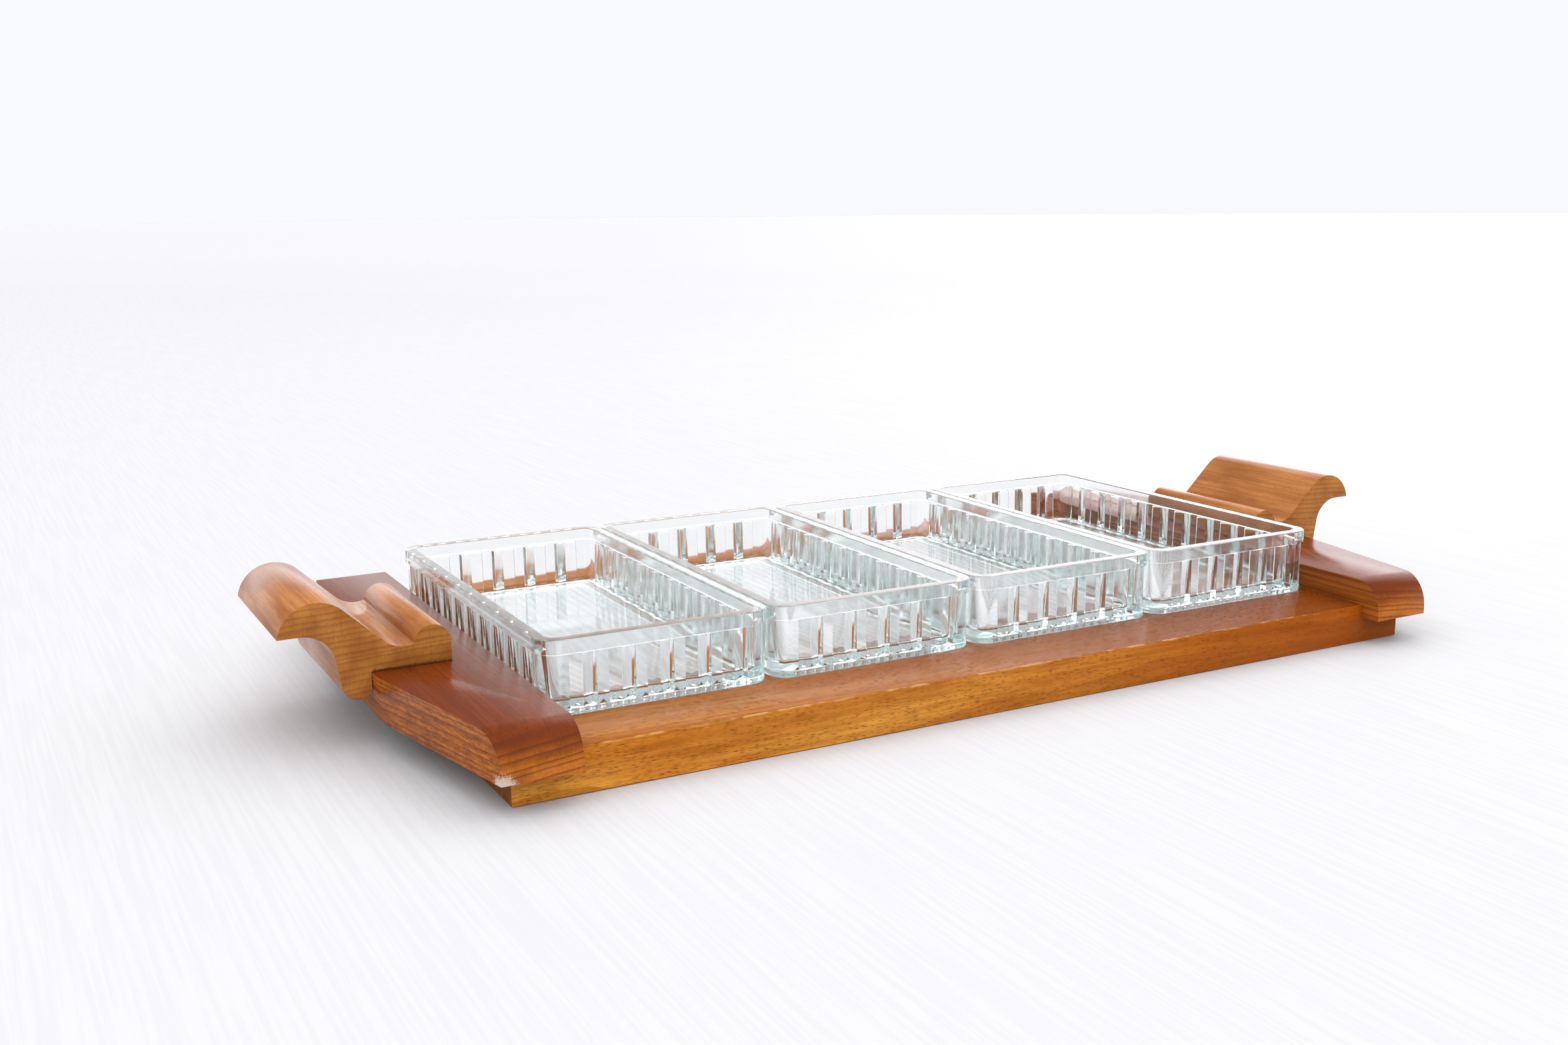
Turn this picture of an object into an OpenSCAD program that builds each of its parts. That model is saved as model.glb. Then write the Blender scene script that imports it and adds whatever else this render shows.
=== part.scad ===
// Serving tray with four lift-out pressed-glass dishes.
// A flat board carries a rail over each end, and a scroll handle sits on each rail.
// +X runs along the tray, -Y is the long front side and +Z is up.
// The origin is the centre of the board's underside. All sizes are in millimetres.

/* [Base board] */
// Length of the board, from end to end
board_l = 420; // [360:1:480]
// Depth of the board, from front to back
board_w = 242; // [225:1:280]
// Thickness of the board
board_t = 17; // [15:0.5:22]

/* [End rails] */
// Width of the rail that lies on the board
rail_lap = 22.8; // [20:0.2:30]
// Distance that the rail reaches past the board's end, at the handle
rail_reach_mid = 23.6; // [22:0.2:28]
// Distance that the rail reaches past the board's end, at its two tips
rail_reach_tip = 6.4; // [4:0.2:12]
// Distance that the rail's tips reach past the board's front and back
rail_overhang = 9.6; // [6:0.2:12]
// Length of the straight stretch that carries the handle
rail_flat_l = 88; // [80:1:110]
// Height of the rail's top above the board's top
rail_rise = 11.4; // [11:0.2:16]
// Distance that the rail hangs below the board's top
rail_drop = 5.6; // [4:0.2:8]
// Radius of the rounded upper edge at each end of the rail
rail_end_r = 14; // [10:0.5:16]
// Distance that the outer face leans inwards from top to bottom
rail_lean = 1.2; // [0:0.1:2]

/* [Handles] */
// Length of the handle along the rail
handle_l = 75; // [60:1:80]
// Radius of the big roll
roll_r = 14.2; // [13.6:0.1:14.6]
// Radius of the cove between the roll and the bead
cove_r = 11.5; // [11:0.1:12]
// Radius of the bead on the inner side
bead_r = 7; // [6.5:0.1:7.4]
// Radius of the finger hollow under the roll
hollow_r = 12.5; // [12:0.1:13]

/* [Glass dishes] */
// Length of a dish, across the tray
dish_l = 180; // [150:1:200]
// Height of a dish
dish_h = 28.7; // [24:0.1:34]
// Gap between the rims of two neighbouring dishes
dish_gap = 0.6; // [0.4:0.1:2]
// Outer corner radius of a dish
dish_corner_r = 8.5; // [7:0.5:12]
// Thickness of the rim
rim_t = 4.8; // [4.4:0.1:6]
// Height of the plain band at the rim
band_h = 5.6; // [4:0.2:8]
// Thickness of the dish's floor
floor_t = 4.4; // [3:0.2:6]
// Number of fluted panels along each long wall
panels_long = 10; // [6:1:12]
// Number of fluted panels along each short wall
panels_short = 5; // [3:1:6]
// Width of the bar between two panels
bar_w = 4.6; // [2:0.1:6]
// Height of the plain strip below the panels
plinth_h = 2.6; // [1:0.2:4]

/* [Screws] */
// Radius of a screw's shank
screw_r = 1.75; // [1.5:0.05:1.9]
// Length of a screw that holds a rail to the board
rail_screw_l = 24; // [20:1:24]
// Length of a screw that holds a handle to its rail
handle_screw_l = 24; // [20:1:24]

/* [Hidden] */
$fn = 64;

beech = [0.80, 0.50, 0.20];
cherry = [0.52, 0.24, 0.10];
oak = [0.66, 0.42, 0.20];
glass = [0.86, 0.94, 0.92, 0.45];
steel = [0.62, 0.60, 0.56];

far = 1000; // longer than the tray, for cuts that run right through

// Rail
rail_in = board_l / 2 - rail_lap;            // inner face
rail_mid = board_l / 2 + rail_reach_mid;     // outer face, top edge, at the handle
rail_tip = board_l / 2 + rail_reach_tip;     // outer face at the tips
rail_half_l = board_w / 2 + rail_overhang;   // half the rail's length
rail_top = board_t + rail_rise;
rail_bottom = board_t - rail_drop;
rail_h = rail_rise + rail_drop;

// Handle outline, in the plane across the rail: [distance from the tray's middle, height].
// Four circles shape it. Straight lines that touch two of them join them.
bead_c = [rail_in + 23, rail_top + 7.9];
cove_c = [bead_c.x + 10.3, rail_top + 19.6];
roll_c = [bead_c.x + 42.2, rail_top + 14.4];
hollow_c = [roll_c.x + 6.1, rail_top + 4.1];
post_c = [rail_mid + 5, rail_top - 3.8];
post_r = 5.9;
valley_x = bead_c.x + bead_r - 0.2;          // bottom of the groove between bead and cove
valley_z = rail_top + 9.5;
lip_z = hollow_c.y + hollow_r;               // flat underside of the roll's lip

// Dishes
dish_pitch = 2 * rail_in / 4;
dish_w = dish_pitch - dish_gap;
bar_inset = 1.0;                             // the bars stand this far inside the rim
groove_depth = 2.2;                          // from a bar's face to the bottom of a groove
groove_side = 0.6;                           // a bar's steep side reaches this far along the wall
ridge_inset = 0.7;                           // each panel's middle ridge lies this far behind the bars
plinth_inset = 0.8;                          // the plain strip stands this far inside the rim
cavity_draft = 1.2;                          // each inner wall leans in this far, top to floor
cavity_corner_r = dish_corner_r - rim_t + 1;

// Screws
head_r = 3.6;
head_h = head_r - screw_r;
head_sink = 0.3;                             // the head lies this far inside the wood
slot_w = 0.9;
slot_h = 1.1;
point_l = 4;
point_r = 0.3;
sink_r = head_r + 0.5;                       // rim of the countersink
pilot_extra = 0.5;                           // a pilot hole runs this far past the screw's point
clear_r = screw_r + 0.25;                    // hole that the shank passes through
pilot_r = screw_r - 0.25;                    // hole that the thread bites into
rail_screw_x = board_l / 2 - rail_lap / 2;
rail_screw_ys = [-90, 0, 90];
handle_screw_x = bead_c.x + 16.3;
handle_screw_ys = [-22, 22];

// The normal of the straight line that touches circle a from outside and circle b from inside
function joining_normal(a, ra, b, rb, turn) =
    let (d = b - a, angle = atan2(d.y, d.x) + turn * acos((ra + rb) / norm(d)))
    [cos(angle), sin(angle)];

module disc(centre, r) { translate(centre) circle(r = r, $fn = 96); }

module rounded_rect(w, l, r) {
    square([w - 2 * r, l], center = true);
    square([w, l - 2 * r], center = true);
    for (x = [-1, 1], y = [-1, 1])
        translate([x * (w / 2 - r), y * (l / 2 - r)]) circle(r = r);
}

// One countersunk wood screw that points up, with its head at z = 0
module wood_screw(l) {
    difference() {
        union() {
            cylinder(r1 = head_r, r2 = screw_r, h = head_h);
            cylinder(r = screw_r, h = l - point_l);
            translate([0, 0, l - point_l]) cylinder(r1 = screw_r, r2 = point_r, h = point_l);
        }
        cube([far, slot_w, 2 * slot_h], center = true);
    }
}

// The countersink and the clearance hole for a screw whose head lies at z = 0
module screw_hole(l) {
    translate([0, 0, -1]) cylinder(r = clear_r, h = l + 1);
    translate([0, 0, -head_sink - 0.01]) cylinder(r1 = sink_r, r2 = clear_r, h = sink_r - clear_r);
}

module at_rail_screws(side) {
    for (y = rail_screw_ys) translate([side * rail_screw_x, y, head_sink]) children();
}

module at_handle_screws(side) {
    for (y = handle_screw_ys) translate([side * handle_screw_x, y, rail_bottom + head_sink]) children();
}

module base_board() {
    color(beech) difference() {
        translate([-board_l / 2, -board_w / 2, 0]) cube([board_l, board_w, board_t]);
        for (side = [-1, 1]) at_rail_screws(side) screw_hole(board_t + 1);
    }
}

// Plan of the right-hand rail: straight inside, and flared towards the handle outside
module rail_plan() {
    polygon([
        [rail_in, -rail_half_l], [rail_tip, -rail_half_l],
        [rail_mid, -rail_flat_l / 2], [rail_mid, rail_flat_l / 2],
        [rail_tip, rail_half_l], [rail_in, rail_half_l]]);
}

// Side view of a rail: a long bar whose upper edges are rounded at both ends
module rail_side() {
    straight_l = 2 * (rail_half_l - rail_end_r);
    upright_h = rail_h - rail_end_r;
    translate([-straight_l / 2, 0]) square([straight_l, rail_h]);
    translate([-rail_half_l, 0]) square([2 * rail_half_l, upright_h]);
    intersection() {
        for (end = [-1, 1]) translate([end * straight_l / 2, upright_h]) circle(r = rail_end_r, $fn = 96);
        translate([-rail_half_l, 0]) square([2 * rail_half_l, rail_h]);
    }
}

module right_rail() {
    difference() {
        intersection() {
            translate([0, 0, rail_bottom]) linear_extrude(rail_h) rail_plan();
            translate([0, 0, rail_bottom]) rotate([90, 0, 90]) linear_extrude(far) rail_side();
        }
        // Rebate that fits over the board's end
        translate([0, -board_w / 2, 0]) cube([board_l / 2, board_w, board_t]);
        // Leaning outer face
        rotate([90, 0, 0]) linear_extrude(far, center = true)
            polygon([[rail_mid, rail_top], [far, rail_top],
                [far, rail_bottom - 1], [rail_mid - rail_lean, rail_bottom - 1]]);
        at_rail_screws(1) cylinder(r = pilot_r, h = rail_screw_l + pilot_extra);
        at_handle_screws(1) screw_hole(rail_h + 1);
    }
}

// Side view of the handle: roll, cove, bead, and a post that hangs outside the rail
module handle_outline() {
    top_n = joining_normal(roll_c, roll_r, cove_c, cove_r, -1);
    post_n = joining_normal(post_c, post_r, hollow_c, hollow_r, -1);
    difference() {
        union() {
            polygon([
                [bead_c.x - bead_r, rail_top], [rail_mid, rail_top], [rail_mid, post_c.y],
                post_c, post_c + post_r * post_n, hollow_c - hollow_r * post_n,
                [hollow_c.x, lip_z], roll_c + roll_r * top_n, cove_c - cove_r * top_n,
                [valley_x, valley_z], [bead_c.x, bead_c.y], [bead_c.x - bead_r, bead_c.y]]);
            disc(bead_c, bead_r);
            intersection() {
                disc(roll_c, roll_r);
                translate([0, lip_z]) square(far);
            }
            intersection() {
                disc(post_c, post_r);
                translate([rail_mid, 0]) square(far);
            }
        }
        intersection() {
            disc(cove_c, cove_r);
            translate([valley_x, 0]) square(far);
        }
        disc(hollow_c, hollow_r);
    }
}

module right_handle() {
    difference() {
        rotate([90, 0, 0]) linear_extrude(handle_l, center = true) handle_outline();
        at_handle_screws(1) cylinder(r = pilot_r, h = handle_screw_l + pilot_extra);
    }
}

// Plan of the wall below the rim: bars with a fluted panel between each two
module fluted_plan() {
    wall_w = dish_w - 2 * bar_inset;
    wall_l = dish_l - 2 * bar_inset;
    difference() {
        rounded_rect(wall_w, wall_l, dish_corner_r - bar_inset);
        for (turn = [0, 180]) rotate(turn) {
            translate([0, wall_l / 2]) panel_row(panels_short, dish_w - 2 * dish_corner_r);
            rotate(90) translate([0, wall_w / 2]) panel_row(panels_long, dish_l - 2 * dish_corner_r);
        }
    }
}

// The cuts for one row of panels, spread evenly over a wall's straight length
module panel_row(count, straight_l) {
    pitch = straight_l / count;
    half_w = (pitch - bar_w) / 2;
    for (i = [0 : count - 1])
        translate([(i + 0.5 - count / 2) * pitch, 0])
            polygon([
                [-half_w, 0], [-half_w + groove_side, -groove_depth], [0, -ridge_inset],
                [half_w - groove_side, -groove_depth], [half_w, 0], [half_w, 1], [-half_w, 1]]);
}

// The room inside a dish: upright corners, and walls that lean in towards the floor
module dish_cavity() {
    in_w = dish_w - 2 * rim_t;
    in_l = dish_l - 2 * rim_t;
    depth = dish_h - floor_t;
    translate([0, 0, floor_t]) intersection() {
        linear_extrude(depth + 1) rounded_rect(in_w, in_l, cavity_corner_r);
        rotate([90, 0, 0]) linear_extrude(far, center = true) leaning_box(in_w, depth);
        rotate([90, 0, 90]) linear_extrude(far, center = true) leaning_box(in_l, depth);
    }
}

module leaning_box(w, h) {
    polygon([
        [-w / 2 + cavity_draft, 0], [w / 2 - cavity_draft, 0],
        [w / 2, h], [w / 2, h + 2], [-w / 2, h + 2], [-w / 2, h]]);
}

// Dish number n, counted from the left
module dish(n) {
    color(glass) translate([(n - 2.5) * dish_pitch, 0, board_t]) difference() {
        union() {
            linear_extrude(plinth_h) rounded_rect(dish_w - 2 * plinth_inset,
                dish_l - 2 * plinth_inset, dish_corner_r - plinth_inset);
            linear_extrude(dish_h - band_h) fluted_plan();
            translate([0, 0, dish_h - band_h]) linear_extrude(band_h)
                rounded_rect(dish_w, dish_l, dish_corner_r);
        }
        dish_cavity();
    }
}

module rail_left() { color(cherry) mirror([1, 0, 0]) right_rail(); }
module rail_right() { color(cherry) right_rail(); }
module handle_left() { color(oak) mirror([1, 0, 0]) right_handle(); }
module handle_right() { color(oak) right_handle(); }
module rail_screws(side) { color(steel) at_rail_screws(side) wood_screw(rail_screw_l); }
module handle_screws(side) { color(steel) at_handle_screws(side) wood_screw(handle_screw_l); }

base_board();
rail_left();
rail_right();
handle_left();
handle_right();
dish(1);  // dish_1
dish(2);  // dish_2
dish(3);  // dish_3
dish(4);  // dish_4
rail_screws(-1);  // rail_screws_left
rail_screws(1);  // rail_screws_right
handle_screws(-1);  // handle_screws_left
handle_screws(1);  // handle_screws_right
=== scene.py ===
import math
import bmesh
import bpy
from mathutils import Matrix, Vector


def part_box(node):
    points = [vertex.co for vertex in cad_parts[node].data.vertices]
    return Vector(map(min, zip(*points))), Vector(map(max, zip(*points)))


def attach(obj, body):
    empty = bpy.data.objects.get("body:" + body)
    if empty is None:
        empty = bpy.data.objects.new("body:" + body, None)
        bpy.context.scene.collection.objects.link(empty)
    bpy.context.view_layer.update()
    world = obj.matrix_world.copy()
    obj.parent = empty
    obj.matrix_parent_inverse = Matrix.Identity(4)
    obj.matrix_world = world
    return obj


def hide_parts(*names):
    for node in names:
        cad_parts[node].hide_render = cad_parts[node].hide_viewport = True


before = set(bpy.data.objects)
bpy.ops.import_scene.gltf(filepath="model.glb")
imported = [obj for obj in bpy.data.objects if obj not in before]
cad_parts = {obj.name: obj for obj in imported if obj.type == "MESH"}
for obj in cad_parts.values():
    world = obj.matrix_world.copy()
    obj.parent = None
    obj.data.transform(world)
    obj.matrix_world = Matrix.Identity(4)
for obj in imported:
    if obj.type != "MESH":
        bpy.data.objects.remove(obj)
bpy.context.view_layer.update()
MM = 0.001
SHARP_ANGLE = math.radians(32)    # edges that turn by more than this count as edges

# ---------------------------------------------------------------- shader nodes


def srgb(r, g, b):
    """A colour given as 0 to 255 screen values, in the linear numbers that shaders use."""
    def linear(v):
        v /= 255
        return v / 12.92 if v <= 0.04045 else ((v + 0.055) / 1.055) ** 2.4
    return (linear(r), linear(g), linear(b), 1.0)


class Nodes:
    """The shader nodes of a material or of the world, with one short call for each kind."""

    def __init__(self, owner):
        self.owner = owner
        owner.use_nodes = True
        self.tree = owner.node_tree
        self.tree.nodes.clear()

    def add(self, kind, inputs=None, **settings):
        """Adds a node, links the inputs that are sockets, sets the others, and gives its outputs."""
        node = self.tree.nodes.new("ShaderNode" + kind)
        for key, value in settings.items():
            setattr(node, key, value)
        for key, value in (inputs or {}).items():
            if isinstance(value, bpy.types.NodeSocket):
                self.tree.links.new(value, node.inputs[key])
            else:
                node.inputs[key].default_value = value
        return node.outputs

    def math(self, operation, a, b=0.0, clamp=False):
        return self.add("Math", {0: a, 1: b}, operation=operation, use_clamp=clamp)[0]

    def plus(self, a, b):
        return self.math("ADD", a, b)

    def minus(self, a, b):
        return self.math("SUBTRACT", a, b)

    def times(self, a, b):
        return self.math("MULTIPLY", a, b)

    def flip(self, value):
        return self.minus(1.0, value)

    def absolute(self, value):
        return self.math("ABSOLUTE", value)

    def step(self, value, low, high):
        """0 below low, 1 above high, and smooth between them."""
        return self.add("MapRange", {"Value": value, "From Min": low, "From Max": high},
                        interpolation_type="SMOOTHSTEP")[0]

    def mix(self, factor, a, b):
        return self.add("Mix", {0: factor, 2: a, 3: b})[0]

    def blend(self, factor, a, b):
        """Goes from colour a to colour b as the factor goes from 0 to 1."""
        return self.add("Mix", {0: factor, 6: a, 7: b}, data_type="RGBA")[2]

    def tint(self, colour, mask, share, over):
        """Lays another colour over the first where the mask is 1, at a share of full strength."""
        return self.blend(self.times(mask, share), colour, over)

    def noise(self, place, scale, detail=2.0, roughness=0.5):
        return self.add("TexNoise", {"Vector": place, "Scale": scale, "Detail": detail,
                                     "Roughness": roughness})["Fac"]

    def stretch(self, place, scale, shift=(0, 0, 0)):
        return self.add("Mapping", {"Vector": place, "Scale": scale, "Location": shift})[0]

    def uneven(self, place, scale, shift=(0, 0, 0), detail=3.0, roughness=0.5):
        """Noise with its own scale along each axis."""
        return self.noise(self.stretch(place, scale, shift), 1.0, detail, roughness)

    def millimetres(self):
        """The point's place in the frame, in millimetres: the vector and its three parts."""
        place = self.add("TexCoord")["Object"]
        vector = self.add("VectorMath", {0: place, 3: 1 / MM}, operation="SCALE")[0]
        return vector, self.parts(vector)

    def normal(self):
        """The three parts of the surface's direction."""
        return self.parts(self.add("TexCoord")["Normal"])

    def parts(self, vector):
        return list(self.add("SeparateXYZ", {0: vector}))

    def join(self, x, y=0.0, z=0.0):
        return self.add("CombineXYZ", {0: x, 1: y, 2: z})[0]

    def bump(self, height, strength, distance):
        return self.add("Bump", {"Height": height, "Strength": strength, "Distance": distance})[0]

    def surface(self, shader, **others):
        """Ends a material in its shader, and gives the material."""
        self.add("OutputMaterial", {"Surface": shader, **others})
        return self.owner


def new_material(name):
    return Nodes(bpy.data.materials.new(name))


# ---------------------------------------------------------------- wood and steel

BOARD_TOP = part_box("base_board")[1].z / MM
BOARD_FRONT = -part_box("base_board")[0].y / MM
RAIL_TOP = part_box("rail_right")[1].z / MM
RAIL_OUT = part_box("rail_right")[1].x / MM      # outer face of a rail, where the handle sits
TIP_OUT = 216.0                                # outer face of a rail, at its tips
FOOT_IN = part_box("handle_right")[0].x / MM     # inner face of a handle
FOOT_HALF_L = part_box("handle_right")[1].y / MM
GRAIN_BUMP = 0.0002
VARNISH_IOR = 1.22    # low, so that the white table's reflection doesn't wash the colour out
BOARD_IOR = 1.14


def rings(t, grain, across, up, lean, pitch, wobble, seed):
    """Growth rings as a saw from 0 to 1, along the direction that `lean` tilts from upwards."""
    soft = t.uneven(grain, (0.006, 0.045, 0.045), (seed, seed, 0), 2.0)
    fine = t.uneven(grain, (0.03, 0.30, 0.30), (0, seed, seed), 2.0)
    depth = t.plus(t.times(up, math.cos(lean)), t.times(across, math.sin(lean)))
    depth = t.plus(depth, t.times(soft, wobble))
    depth = t.plus(depth, t.times(fine, wobble * 0.08))
    spacing = t.times(t.noise(t.join(depth), 0.22, 1.0), 2.2)
    return t.math("FRACT", t.plus(t.math("DIVIDE", depth, pitch), spacing))


def late_wood(t, saw, start=0.55):
    """Each ring darkens slowly towards its end, then falls back at once."""
    return t.math("SUBTRACT", t.step(saw, start, 0.93), t.step(saw, 0.95, 1.0), clamp=True)


def flecks(t, grain, size, radius, share, seed):
    """Short dark dashes along the grain, 1 inside a dash."""
    place = t.stretch(grain, tuple(1 / s for s in size), (seed, 0, seed))
    cells = t.add("TexVoronoi", {"Vector": place, "Scale": 1.0, "Randomness": 1.0})
    chosen = t.add("SeparateColor", {0: cells["Color"]})[0]
    inside = t.flip(t.step(cells["Distance"], radius * 0.55, radius))
    return t.times(inside, t.math("LESS_THAN", chosen, share))


def streaks(t, grain, seed):
    """Long, thin streaks along the grain, from 0 to 1."""
    return t.step(t.uneven(grain, (0.010, 0.75, 0.75), (seed, 0, seed), 4.0, 0.6), 0.36, 0.66)


def varnished(t, colour, roughness, height, ior=VARNISH_IOR):
    return t.surface(t.add("BsdfPrincipled", {
        "Base Color": colour, "Roughness": roughness, "IOR": ior,
        "Normal": t.bump(height, 0.25, GRAIN_BUMP)})[0])


def worn_edge(t, y, z, grain):
    """Pale, rubbed patches along the board's front upper edge."""
    edge = t.times(t.step(z, BOARD_TOP - 0.9, BOARD_TOP - 0.3),
                   t.step(t.times(y, -1.0), BOARD_FRONT - 1.0, BOARD_FRONT - 0.3))
    return t.times(edge, t.step(t.uneven(grain, (0.12, 0.5, 0.5)), 0.46, 0.60))


def board_wood():
    """Steamed beech: orange brown, paler at the left, with short ray flecks along the board."""
    t = new_material("beech_board")
    _, (x, y, z) = t.millimetres()
    facing_x, _, facing_z = (t.absolute(part) for part in t.normal())
    grain = t.join(x, y, z)
    late = late_wood(t, rings(t, grain, y, z, 1.25, 5.2, 16.0, 3.0))
    fibre = t.uneven(grain, (0.05, 2.6, 2.6), roughness=0.6)
    patches = t.step(t.uneven(grain, (0.03, 0.10, 0.10), (3, 3, 3), 2.0), 0.30, 0.52)
    pores = t.times(flecks(t, grain, (3.2, 1.1, 0.46), 0.42, 0.60, 7.0), patches)
    mottle = t.step(t.uneven(grain, (0.05, 0.22, 0.22), (2, 6, 1), roughness=0.6), 0.48, 0.72)
    dashes = t.step(t.uneven(grain, (0.30, 1.5, 1.5), (0, 4, 8), roughness=0.7), 0.50, 0.66)
    right = t.step(x, -230.0, 200.0)
    pale = t.blend(right, srgb(255, 186, 82), srgb(178, 90, 18))
    deep = t.blend(right, srgb(238, 152, 54), srgb(148, 68, 10))
    colour = t.blend(t.step(t.uneven(grain, (0.008, 0.06, 0.10), (5, 1, 2)), 0.35, 0.65), pale, deep)
    colour = t.tint(colour, streaks(t, grain, 4.0), 0.30, srgb(146, 74, 10))
    colour = t.tint(colour, late, 0.42, srgb(152, 76, 18))
    colour = t.tint(colour, t.step(fibre, 0.42, 0.72), 0.30, srgb(158, 86, 16))
    colour = t.tint(colour, mottle, 0.32, srgb(132, 64, 10))
    colour = t.tint(colour, dashes, 0.34, srgb(146, 70, 14))
    colour = t.tint(colour, pores, 0.62, srgb(112, 56, 16))
    # Painted shade: faces that look up or down are painted darker brown than the front face, for how the
    # light falls on them.
    colour = t.tint(colour, t.step(facing_z, 0.6, 0.9), 0.68, srgb(118, 58, 20))
    # End faces darker: partly the end grain's own darker colour, partly painted shade for the shade under
    # the rails.
    colour = t.tint(colour, t.step(facing_x, 0.6, 0.9), 0.75, srgb(78, 38, 14))
    colour = t.tint(colour, worn_edge(t, y, z, grain), 0.55, srgb(232, 180, 110))
    rough = t.plus(0.22, t.times(pores, 0.25))
    return varnished(t, colour, rough, t.minus(t.times(fibre, 0.3), pores), BOARD_IOR)


def dark_line_on_rail(t, x, y, z, grain):
    """A dark line on the rail's top, round the handle's foot."""
    past_x = t.minus(FOOT_IN, t.absolute(x))
    past_y = t.minus(t.absolute(y), FOOT_HALF_L)
    away = t.math("MAXIMUM", past_x, past_y)
    ragged = t.times(t.noise(grain, 0.9, 3.0), 1.1)
    near = t.flip(t.step(t.minus(away, ragged), -0.25, 0.25))
    return t.times(near, t.step(z, RAIL_TOP - 0.6, RAIL_TOP - 0.2))


def chip_mask(t, x, y, z):
    """Bare, chipped wood at the left rail's front outer corner."""
    low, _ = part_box("rail_left")
    place = t.join(t.minus(x, -TIP_OUT), t.minus(y, low.y / MM), t.times(t.minus(z, low.z / MM), 1.3))
    away = t.add("VectorMath", {0: place}, operation="LENGTH")["Value"]
    ragged = t.times(t.noise(place, 1.3, 4.0, 0.8), 14.0)
    return t.flip(t.step(t.plus(away, ragged), 10.4, 12.0))


def rail_wood():
    """Darker, redder wood, with rings that lie flat and show as bands on the rounded ends."""
    t = new_material("red_brown_rail")
    _, (x, y, z) = t.millimetres()
    facing_x, facing_y, _ = (t.absolute(part) for part in t.normal())
    down = t.times(t.normal()[2], -1.0)
    grain = t.join(y, x, z)
    late = late_wood(t, rings(t, grain, t.absolute(x), z, 0.10, 2.6, 1.5, 11.0), 0.35)
    fibre = t.uneven(grain, (0.06, 2.4, 2.4), roughness=0.6)
    pores = flecks(t, grain, (2.6, 0.7, 0.7), 0.34, 0.30, 2.0)
    lines = t.step(t.uneven(grain, (0.03, 1.3, 1.3), (5, 0, 2), roughness=0.7), 0.48, 0.62)
    chip = chip_mask(t, x, y, z)
    side = t.step(facing_x, 0.5, 0.85)
    end = t.step(facing_y, 0.2, 0.8)
    calm = t.flip(t.times(end, 0.75))
    # Painted light: the rail is painted paler low down and on its sides than on its top, for how the light
    # falls on them.
    low_down = t.flip(t.step(z, RAIL_TOP - 13.4, RAIL_TOP - 3.4))
    light = t.math("MAXIMUM", t.times(low_down, 0.9), t.times(side, 0.85))
    banded = t.plus(0.12, t.times(t.math("MAXIMUM", end, side), 0.50))
    colour = t.blend(light, srgb(120, 52, 12), srgb(204, 118, 40))
    broad = t.step(t.uneven(grain, (0.02, 0.12, 0.12), (1, 8, 3)), 0.4, 0.7)
    colour = t.tint(colour, broad, 0.4, srgb(106, 44, 12))
    colour = t.tint(colour, t.times(streaks(t, grain, 9.0), calm), 0.48, srgb(84, 34, 10))
    colour = t.tint(colour, t.times(lines, calm), 0.36, srgb(92, 38, 12))
    colour = t.tint(colour, late, banded, srgb(96, 42, 18))
    colour = t.tint(colour, t.times(t.step(fibre, 0.45, 0.7), calm), 0.34, srgb(80, 32, 8))
    colour = t.tint(colour, pores, 0.35, srgb(74, 30, 12))
    # A dark line on the rail's top, round the handle's foot.
    colour = t.tint(colour, dark_line_on_rail(t, x, y, z, grain), 0.8, srgb(44, 24, 12))
    # Painted shade: faces that look down are painted near black-brown, to darken the shadow under the
    # rail.
    colour = t.tint(colour, t.step(down, 0.3, 0.8), 0.8, srgb(52, 24, 12))
    colour = t.tint(colour, chip, 0.85, srgb(214, 202, 190))
    rough = t.plus(0.27, t.times(chip, 0.5))
    return varnished(t, colour, rough, t.minus(t.times(fibre, 0.3), t.plus(pores, chip)))


def dark_line_on_foot(t, x, z, grain):
    """A dark line along the lower edge of the handle's foot."""
    ragged = t.minus(z, t.times(t.noise(grain, 0.9, 3.0), 1.2))
    low = t.flip(t.step(ragged, RAIL_TOP - 0.2, RAIL_TOP + 0.4))
    return t.times(low, t.flip(t.step(t.absolute(x), RAIL_OUT - 1.0, RAIL_OUT + 0.4)))


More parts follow.
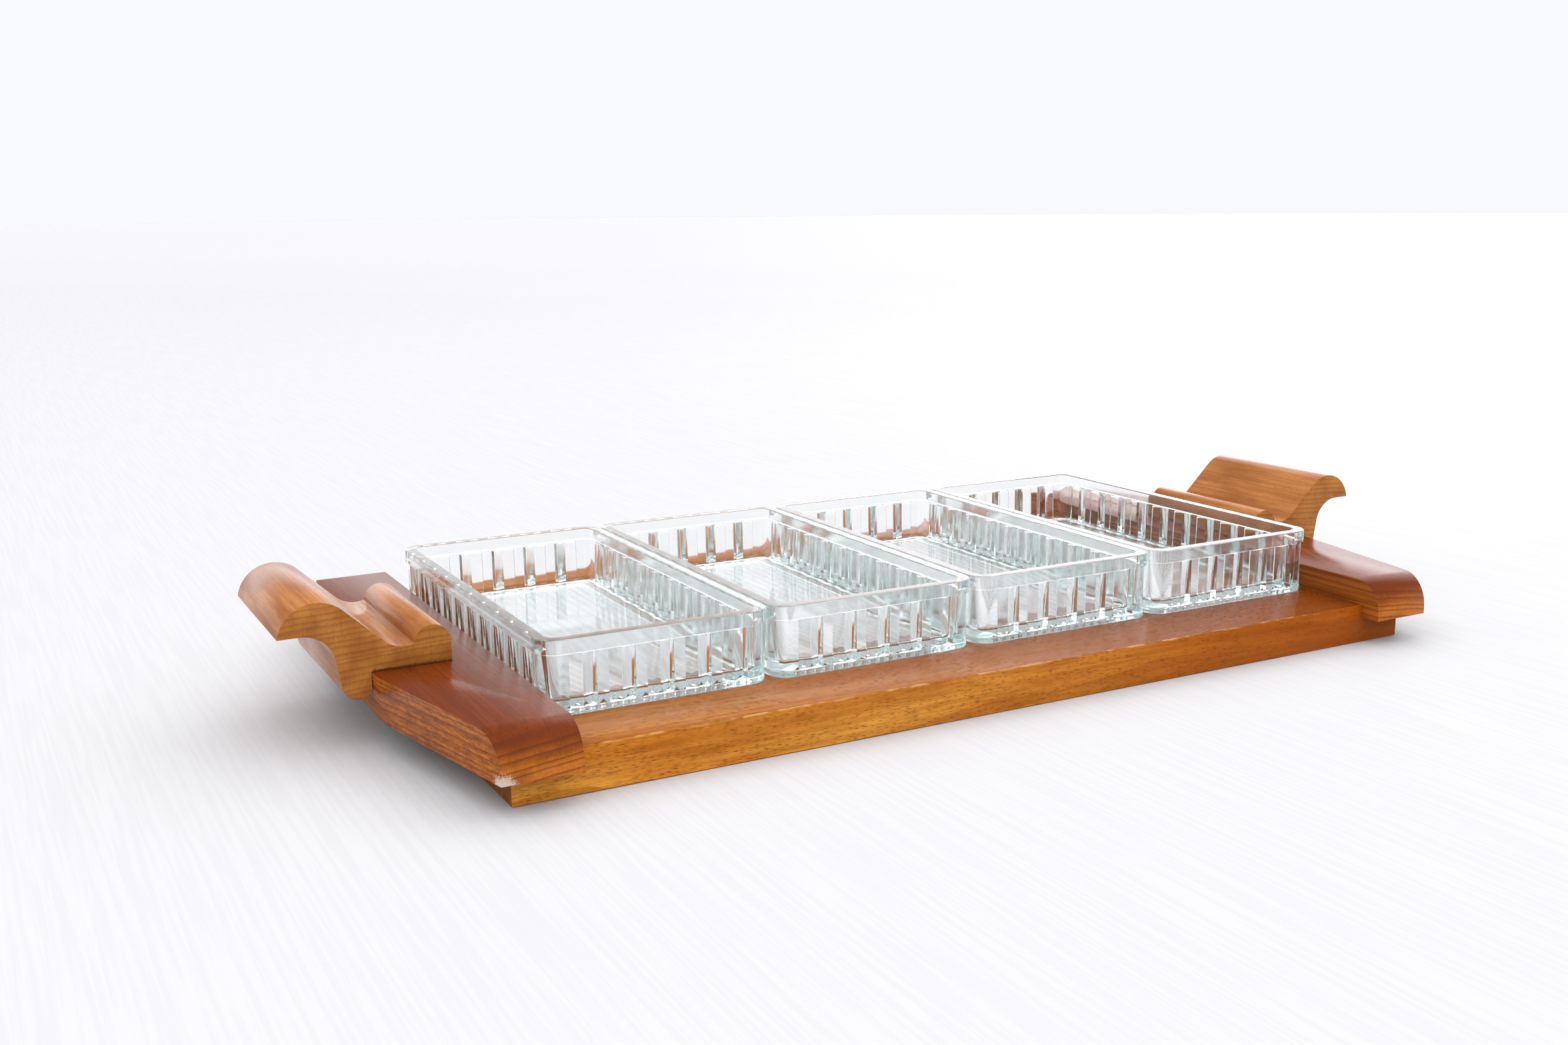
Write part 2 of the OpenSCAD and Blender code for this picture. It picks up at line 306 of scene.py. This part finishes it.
def handle_wood():
    """Ochre brown: ring lines and saw marks on the ends, and a smooth top with small pores."""
    t = new_material("ochre_handle")
    _, (x, y, z) = t.millimetres()
    grain = t.join(y, x, z)
    late = late_wood(t, rings(t, grain, t.absolute(x), z, 0.06, 2.3, 1.8, 23.0), 0.45)
    fibre = t.uneven(grain, (0.07, 2.2, 2.2), roughness=0.6)
    pores = flecks(t, grain, (2.8, 0.7, 0.7), 0.30, 0.30, 5.0)
    saw_marks = t.step(t.uneven(grain, (0.02, 1.6, 0.05), detail=2.0, roughness=0.6), 0.5, 0.75)
    dashes = t.step(t.uneven(grain, (0.16, 1.2, 1.2), (5, 7, 2), roughness=0.7), 0.50, 0.68)
    broad = t.step(t.uneven(grain, (0.02, 0.09, 0.09), (4, 4, 9)), 0.35, 0.65)
    end = t.step(t.absolute(t.normal()[1]), 0.6, 0.9)
    along = t.blend(broad, srgb(184, 122, 66), srgb(150, 92, 44))
    ends = t.blend(broad, srgb(196, 130, 62), srgb(172, 106, 46))
    colour = t.blend(end, along, t.tint(ends, saw_marks, 0.22, srgb(112, 66, 32)))
    colour = t.tint(colour, streaks(t, grain, 2.0), t.minus(0.45, t.times(end, 0.3)), srgb(134, 74, 36))
    colour = t.tint(colour, dashes, t.minus(0.26, t.times(end, 0.20)), srgb(120, 66, 32))
    colour = t.tint(colour, late, t.plus(0.10, t.times(end, 0.30)), srgb(118, 68, 34))
    colour = t.tint(colour, t.step(fibre, 0.45, 0.7), 0.2, srgb(134, 78, 42))
    colour = t.tint(colour, pores, 0.35, srgb(84, 44, 24))
    # A dark line along the lower edge of the handle's foot.
    colour = t.tint(colour, dark_line_on_foot(t, x, z, grain), 0.75, srgb(50, 30, 16))
    rough = t.plus(0.20, t.times(end, 0.16))
    return varnished(t, colour, rough, t.minus(t.times(fibre, 0.3), pores))


def screw_steel():
    """Dull steel with a brushed grain and a few brown stains."""
    t = new_material("dull_steel")
    place, _ = t.millimetres()
    stain = t.step(t.noise(place, 0.9, 4.0, 0.65), 0.52, 0.68)
    brush = t.uneven(place, (6.0, 0.6, 6.0), detail=2.0)
    rough = t.plus(0.32, t.plus(t.times(stain, 0.3), t.times(brush, 0.1)))
    return t.surface(t.add("BsdfPrincipled", {
        "Base Color": t.blend(stain, srgb(176, 172, 164), srgb(122, 92, 66)), "Metallic": 1.0,
        "Roughness": rough, "Normal": t.bump(brush, 0.2, 0.0001)})[0])


def soften(node, radius, material):
    """Rounds a CAD node's edges and gives it its finish."""
    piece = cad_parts[node]
    weld = piece.modifiers.new("weld", "WELD")
    weld.merge_threshold = 1e-6
    flat = piece.modifiers.new("flat", "DECIMATE")
    flat.decimate_type, flat.angle_limit = "DISSOLVE", math.radians(0.2)
    bevel = piece.modifiers.new("bevel", "BEVEL")
    bevel.width, bevel.segments = radius * MM, 3
    bevel.limit_method, bevel.angle_limit = "ANGLE", SHARP_ANGLE
    bevel.harden_normals = True
    for polygon in piece.data.polygons:
        polygon.use_smooth = True
    piece.data.materials.clear()
    piece.data.materials.append(material)


def build_wood():
    soften("base_board", 0.5, board_wood())
    rail, handle, steel = rail_wood(), handle_wood(), screw_steel()
    for side in ("left", "right"):
        soften(f"rail_{side}", 0.7, rail)
        soften(f"handle_{side}", 0.5, handle)
        for group in ("rail", "handle"):
            soften(f"{group}_screws_{side}", 0.12, steel)


# ---------------------------------------------------------------- glass dishes, in millimetres

DISH_LOW, DISH_HIGH = (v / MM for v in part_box("dish_1"))
HALF_W = (DISH_HIGH.x - DISH_LOW.x) / 2
HALF_L = (DISH_HIGH.y - DISH_LOW.y) / 2
DISH_H = DISH_HIGH.z - DISH_LOW.z
CORNER_R, CORNER_STEPS = 8.5, 8
BOARD_GAP = 0.05      # keeps the underside off the board's top, so that they don't coincide
RIM_T = 4.8
RIM_R = 0.5           # rounding of the rim's edges
BAND_H = 5.6          # plain band at the rim
FLOOR_T = 4.4
FLOOR_FILLET = 2.0
WALL_DRAFT = 1.08     # how much the inside narrows towards the floor
PANELS_SHORT, PANELS_LONG = 5, 10
BAR_W = 4.6           # face of the bar between two panels
BAR_INSET = 1.0       # the bars stand this far inside the rim
SIDE_RUN = 0.6        # width of a bar's steep side, along the wall
RIDGE = 0.06          # depth of a panel's middle ridge, as a share of its grooves' depth
EDGE_R = 0.25         # rounding of the relief's edges
DEPTH_LOW, DEPTH_TOP = 3.0, 2.5       # a groove's depth behind the bars, at its foot and its top
PLINTH_H = 2.6        # plain strip below the relief
PLINTH_INSET = 0.75
FOOT_INSETS = (6.4, 7.2)              # inner edge of the foot rim, low down and at the hollow
HOLLOW = 0.5          # height of the hollow inside the foot rim
FLUTE_PITCH, FLUTE_DEPTH = 4.2, 2.15
FLUTE_MARGIN = 9.0    # the flutes end this far inside the rim
FLOOR_PAINTED_WHITE = 0.6         # how much painted white the underside gets between the feet: painted reflection, for the light its flutes send back
FLOOR_PAINTED_WHITE_MARGINS = (11.0, 14.0)        # where that whiteness ends: from the sides, from the ends


def panel_profile(pitch):
    """One panel's outline as (distance from its middle, share of the depth), with its edges eased."""
    half = (pitch - BAR_W) / 2
    corners = [(-pitch / 2, 0.0), (-half, 0.0), (-half + SIDE_RUN, 1.0), (0.0, RIDGE),
               (half - SIDE_RUN, 1.0), (half, 0.0), (pitch / 2, 0.0)]
    eased = []
    for before, corner, after in zip(corners, corners[1:], corners[2:]):
        pulled = []
        for other in (before, after):
            run, rise = other[0] - corner[0], other[1] - corner[1]
            share = min(0.4, EDGE_R / math.hypot(run, rise * DEPTH_LOW))
            pulled.append((corner[0] + share * run, corner[1] + share * rise))
        middle = tuple((2 * corner[k] + pulled[0][k] + pulled[1][k]) / 4 for k in (0, 1))
        eased += [pulled[0], middle, pulled[1]]
    return eased


def wall_stations(count, straight):
    """Places along one wall as (distance from its middle, share of the panel's depth)."""
    pitch = straight / count
    stations = [(-straight / 2, 0.0)]
    for i in range(count):
        middle = (i + 0.5 - count / 2) * pitch
        stations += [(middle + s, share) for s, share in panel_profile(pitch)]
    return stations + [(straight / 2, 0.0)]


def dish_outline():
    """All stations round a dish, anticlockwise: (point on the inner rectangle, outward normal, share)."""
    half_w, half_l = HALF_W - CORNER_R, HALF_L - CORNER_R
    walls = [((0, -1), half_l, half_w, PANELS_SHORT), ((1, 0), half_w, half_l, PANELS_LONG),
             ((0, 1), half_l, half_w, PANELS_SHORT), ((-1, 0), half_w, half_l, PANELS_LONG)]
    outline = []
    for (nx, ny), reach, half, count in walls:
        for s, share in wall_stations(count, 2 * half):
            outline.append(((reach * nx - s * ny, reach * ny + s * nx), (nx, ny), share))
        corner = outline[-1][0]
        start = math.atan2(ny, nx)
        for k in range(1, CORNER_STEPS):
            a = start + math.pi / 2 * k / CORNER_STEPS
            outline.append((corner, (math.cos(a), math.sin(a)), 0.0))
    return outline


def foot_levels():
    """Rings as (height, inset from the rim's face, panel depth), from the hollow to the plinth."""
    return [(HOLLOW, FOOT_INSETS[1], 0.0), (BOARD_GAP, FOOT_INSETS[0], 0.0),
            (BOARD_GAP, PLINTH_INSET + 0.6, 0.0), (BOARD_GAP + 0.05, PLINTH_INSET + 0.35, 0.0),
            (BOARD_GAP + 0.25, PLINTH_INSET + 0.15, 0.0), (BOARD_GAP + 0.65, PLINTH_INSET, 0.0),
            (PLINTH_H - 0.3, PLINTH_INSET, 0.0), (PLINTH_H - 0.05, PLINTH_INSET + 0.12, 0.15)]


def relief_levels():
    """Rings up the panels and bars, and out to the face of the band."""
    foot, top = PLINTH_H + 0.4, DISH_H - BAND_H
    levels = [(PLINTH_H + 0.12, BAR_INSET, 0.85 * DEPTH_LOW)]
    for k in range(5):
        share = k / 4
        depth = DEPTH_LOW + share * (DEPTH_TOP - DEPTH_LOW)
        levels.append((foot + share * (top - 0.8 - foot), BAR_INSET, depth))
    return levels + [(top - 0.45, BAR_INSET, DEPTH_TOP * 0.8), (top - 0.25, BAR_INSET, 0.2),
                     (top - 0.12, BAR_INSET, 0.0), (top, BAR_INSET - 0.1, 0.0),
                     (top + 0.02, 0.12, 0.0), (top + 0.14, 0.0, 0.0)]


def rim_levels():
    """Rings over the rim, whose outer and inner edges are rounded alike."""
    outer = [(DISH_H - RIM_R, 0.0), (DISH_H - RIM_R * 0.5, RIM_R * 0.14),
             (DISH_H - RIM_R * 0.14, RIM_R * 0.5), (DISH_H, RIM_R)]
    inner = [(height, RIM_T - inset) for height, inset in reversed(outer)]
    return [(height, inset, 0.0) for height, inset in outer + inner]


def floor_levels():
    """Rings down the inside's foot, where the wall turns into the floor."""
    levels = []
    for k in range(5):
        a = math.pi / 2 * k / 4
        levels.append((FLOOR_T + FLOOR_FILLET * (1 - math.sin(a)),
                       RIM_T + WALL_DRAFT + FLOOR_FILLET * (1 - math.cos(a)), 0.0))
    return levels


def ring_points(outline, height, inset, depth):
    points = []
    for (cx, cy), (nx, ny), share in outline:
        reach = CORNER_R - inset - share * depth
        points.append((cx + reach * nx, cy + reach * ny, height))
    return points


def closed_mesh(name, loops):
    """A closed mesh from loops of points in millimetres: walls between them, and two end faces."""
    bm = bmesh.new()
    loops = [[bm.verts.new(point) for point in loop] for loop in loops]
    count = len(loops[0])
    for low, high in zip(loops, loops[1:]):
        for i in range(count):
            j = (i + 1) % count
            bm.faces.new((low[i], low[j], high[j], high[i]))
    bm.faces.new(list(reversed(loops[0])))
    bm.faces.new(loops[-1])
    bmesh.ops.remove_doubles(bm, verts=bm.verts, dist=1e-5)
    bmesh.ops.recalc_face_normals(bm, faces=bm.faces)
    bmesh.ops.transform(bm, matrix=Matrix.Scale(MM, 4), verts=bm.verts)
    mesh = bpy.data.meshes.new(name)
    bm.to_mesh(mesh)
    bm.free()
    return mesh


def dish_mesh():
    outline = dish_outline()
    levels = foot_levels() + relief_levels() + rim_levels() + floor_levels()
    return closed_mesh("dish", [ring_points(outline, *level) for level in levels])


def flute_cutter():
    """A closed block whose top is a row of ridges that run along the dish."""
    ridge = ((0.01, 0.0), (0.03, 0.03), (0.47, 0.97), (0.50, 1.0), (0.53, 0.97), (0.97, 0.03), (0.99, 0.0))
    count = int(2 * (HALF_W - FLUTE_MARGIN) / FLUTE_PITCH)
    section = []
    for i in range(count):
        x = (i - count / 2) * FLUTE_PITCH
        section += [(x + share * FLUTE_PITCH, HOLLOW + rise * FLUTE_DEPTH) for share, rise in ridge]
    section += [(section[-1][0], -1.0), (section[0][0], -1.0)]
    half_l = HALF_L - FLUTE_MARGIN
    return closed_mesh("flute_cutter", [[(x, y, z) for x, z in section] for y in (-half_l, half_l)])


def fluted_dish_mesh():
    """The dish with flutes cut into its underside."""
    scene = bpy.context.scene.collection
    dish = bpy.data.objects.new("blank", dish_mesh())
    cutter = bpy.data.objects.new("cutter", flute_cutter())
    scene.objects.link(dish)
    scene.objects.link(cutter)
    cut = dish.modifiers.new("flutes", "BOOLEAN")
    cut.operation, cut.object, cut.solver = "DIFFERENCE", cutter, "EXACT"
    bpy.context.view_layer.update()
    shown = dish.evaluated_get(bpy.context.evaluated_depsgraph_get())
    mesh = bpy.data.meshes.new_from_object(shown)
    bpy.data.objects.remove(dish)
    bpy.data.objects.remove(cutter)
    for polygon in mesh.polygons:
        polygon.use_smooth = True
    mesh.set_sharp_from_angle(angle=SHARP_ANGLE)
    return mesh


def dish_glass():
    """Pressed glass, faintly green, with its underside inside the foot rim painted whitish: a painted
    reflection, for the light its flutes send back.
    """
    t = new_material("pressed_glass")
    _, (x, y, z) = t.millimetres()
    in_width = t.math("LESS_THAN", t.absolute(x), HALF_W - FLOOR_PAINTED_WHITE_MARGINS[0])
    in_length = t.math("LESS_THAN", t.absolute(y), HALF_L - FLOOR_PAINTED_WHITE_MARGINS[1])
    under = t.math("LESS_THAN", z, FLOOR_T - 0.5)
    # Painted reflection: the underside between the feet is made partly diffuse white, for the light its
    # flutes send back.
    painted_white_floor = t.times(t.times(in_width, in_length), under)
    glass = t.add("BsdfPrincipled", {"Base Color": (1, 1, 1, 1), "Roughness": 0.08, "IOR": 1.52,
                                     "Transmission Weight": t.flip(t.times(painted_white_floor, FLOOR_PAINTED_WHITE))})
    inside = t.add("VolumeAbsorption", {"Color": (0.80, 0.93, 0.92, 1), "Density": 26.0})
    return t.surface(glass[0], Volume=inside[0])


def build_dishes():
    mesh = fluted_dish_mesh()
    mesh.materials.clear()
    mesh.materials.append(dish_glass())
    for n in range(1, 5):
        dish = bpy.data.objects.new(f"dish_glass_{n}", mesh)
        bpy.context.scene.collection.objects.link(dish)
        low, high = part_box(f"dish_{n}")
        dish.location = ((low.x + high.x) / 2, (low.y + high.y) / 2, low.z)
        weighted = dish.modifiers.new("weighted_normals", "WEIGHTED_NORMAL")
        weighted.keep_sharp = True
        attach(dish, f"dish_{n}")
        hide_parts(f"dish_{n}")


# ---------------------------------------------------------------- stage, light and camera

FLOOR_R = 12.0
FLOOR_DROP = 0.0003
CLEAR_WHITE = 1.75    # what shows through the glass
SKY_LOW = 0.40        # the soft light on the surfaces, from low down
SKY_HIGH = 2.15       # and from overhead
ROOM_DARK = 0.38      # what the varnish reflects: a dim room,
ROOM_SWEEP = 1.8      # a pale sweep low at the back,
ROOM_BOX = 1.6        # and a broad soft light high at the back right
BOX_AIM = (0.70, 0.55, 0.45)
BACKDROP = 0.975
LIGHT_COLOUR = (0.965, 0.97, 1.0, 1)
KEY_PLACE = (1.3, 0.9, 1.5)
KEY_SIZE = (1.2, 0.9)
KEY_POWER = 3.0
CAMERA_PLACE = (-0.3692, -0.6061, 0.2006)
CAMERA_YAW, CAMERA_PITCH, CAMERA_ROLL = (math.radians(a) for a in (28.482, 11.744, -0.487))
CAMERA_LENS, CAMERA_SENSOR = 36.73, 36.0
GLASS_BOUNCES = 32


def build_stage():
    """A pale floor with very faint streaks."""
    t = new_material("pale_floor")
    place, _ = t.millimetres()
    streak = t.step(t.uneven(place, (0.5, 0.012, 0.1)), 0.4, 0.6)
    colour = t.blend(streak, (0.542, 0.538, 0.540, 1), (0.562, 0.558, 0.559, 1))
    shader = t.add("BsdfPrincipled", {"Base Color": colour, "Roughness": 0.55, "IOR": 1.12})
    bm = bmesh.new()
    bmesh.ops.create_circle(bm, cap_ends=True, segments=96, radius=FLOOR_R)
    mesh = bpy.data.meshes.new("floor")
    bm.to_mesh(mesh)
    bm.free()
    mesh.materials.append(t.surface(shader[0]))
    floor = bpy.data.objects.new("floor", mesh)
    floor.location.z = -FLOOR_DROP
    bpy.context.scene.collection.objects.link(floor)


def build_world():
    """Even white light, but mirrored rays see a dim room with a white sweep and one soft light."""
    world = bpy.data.worlds.new("soft_white")
    bpy.context.scene.world = world
    t = Nodes(world)
    way = t.add("TexCoord")["Generated"]

    def facing(aim):
        return t.add("VectorMath", {0: way, 1: Vector(aim).normalized()}, operation="DOT_PRODUCT")["Value"]

    upwards = facing((0, 0, 1))
    low_down = t.flip(t.step(upwards, 0.16, 0.40))
    behind = t.step(facing((math.sin(CAMERA_YAW), math.cos(CAMERA_YAW), 0)), -0.35, 0.45)
    sweep = t.times(t.times(low_down, behind), ROOM_SWEEP - ROOM_DARK)
    box = t.times(t.step(facing(BOX_AIM), 0.86, 0.96), ROOM_BOX)
    room = t.plus(ROOM_DARK, t.plus(sweep, box))
    sky = t.plus(SKY_LOW, t.times(t.step(upwards, 0.18, 0.75), SKY_HIGH - SKY_LOW))
    ray = t.add("LightPath")
    mirrored = t.times(ray["Is Glossy Ray"], ray["Is Reflection Ray"])
    strength = t.mix(mirrored, t.mix(ray["Is Diffuse Ray"], CLEAR_WHITE, sky), room)
    strength = t.mix(ray["Is Camera Ray"], strength, BACKDROP)
    background = t.add("Background", {"Color": LIGHT_COLOUR, "Strength": strength})
    t.add("OutputWorld", {"Surface": background[0]})


def build_key_light():
    light = bpy.data.lights.new("key", "AREA")
    light.shape = "RECTANGLE"
    light.size, light.size_y = KEY_SIZE
    light.energy = KEY_POWER
    lamp = bpy.data.objects.new("key", light)
    lamp.location = KEY_PLACE
    lamp.rotation_euler = (-lamp.location).to_track_quat("-Z", "Y").to_euler()
    bpy.context.scene.collection.objects.link(lamp)


def build_camera():
    """A camera that looks along its yaw from +Y, down by its pitch, and is rolled about its view."""
    forward = Vector((math.sin(CAMERA_YAW) * math.cos(CAMERA_PITCH),
                      math.cos(CAMERA_YAW) * math.cos(CAMERA_PITCH), -math.sin(CAMERA_PITCH)))
    level = Vector((math.cos(CAMERA_YAW), -math.sin(CAMERA_YAW), 0))
    right = math.cos(CAMERA_ROLL) * level + math.sin(CAMERA_ROLL) * level.cross(forward)
    axes = Matrix((right, right.cross(forward), -forward)).transposed()
    camera = bpy.data.objects.new("camera", bpy.data.cameras.new("camera"))
    camera.data.lens, camera.data.sensor_width = CAMERA_LENS, CAMERA_SENSOR
    camera.data.clip_start = 0.01
    camera.matrix_world = Matrix.Translation(CAMERA_PLACE) @ axes.to_4x4()
    bpy.context.scene.collection.objects.link(camera)
    bpy.context.scene.camera = camera


build_camera()
build_world()
build_key_light()
build_stage()
build_wood()
build_dishes()
bpy.context.scene.view_settings.view_transform = "Standard"
bpy.context.scene.cycles.max_bounces = GLASS_BOUNCES
bpy.context.scene.cycles.transmission_bounces = GLASS_BOUNCES
bpy.context.scene.cycles.glossy_bounces = GLASS_BOUNCES
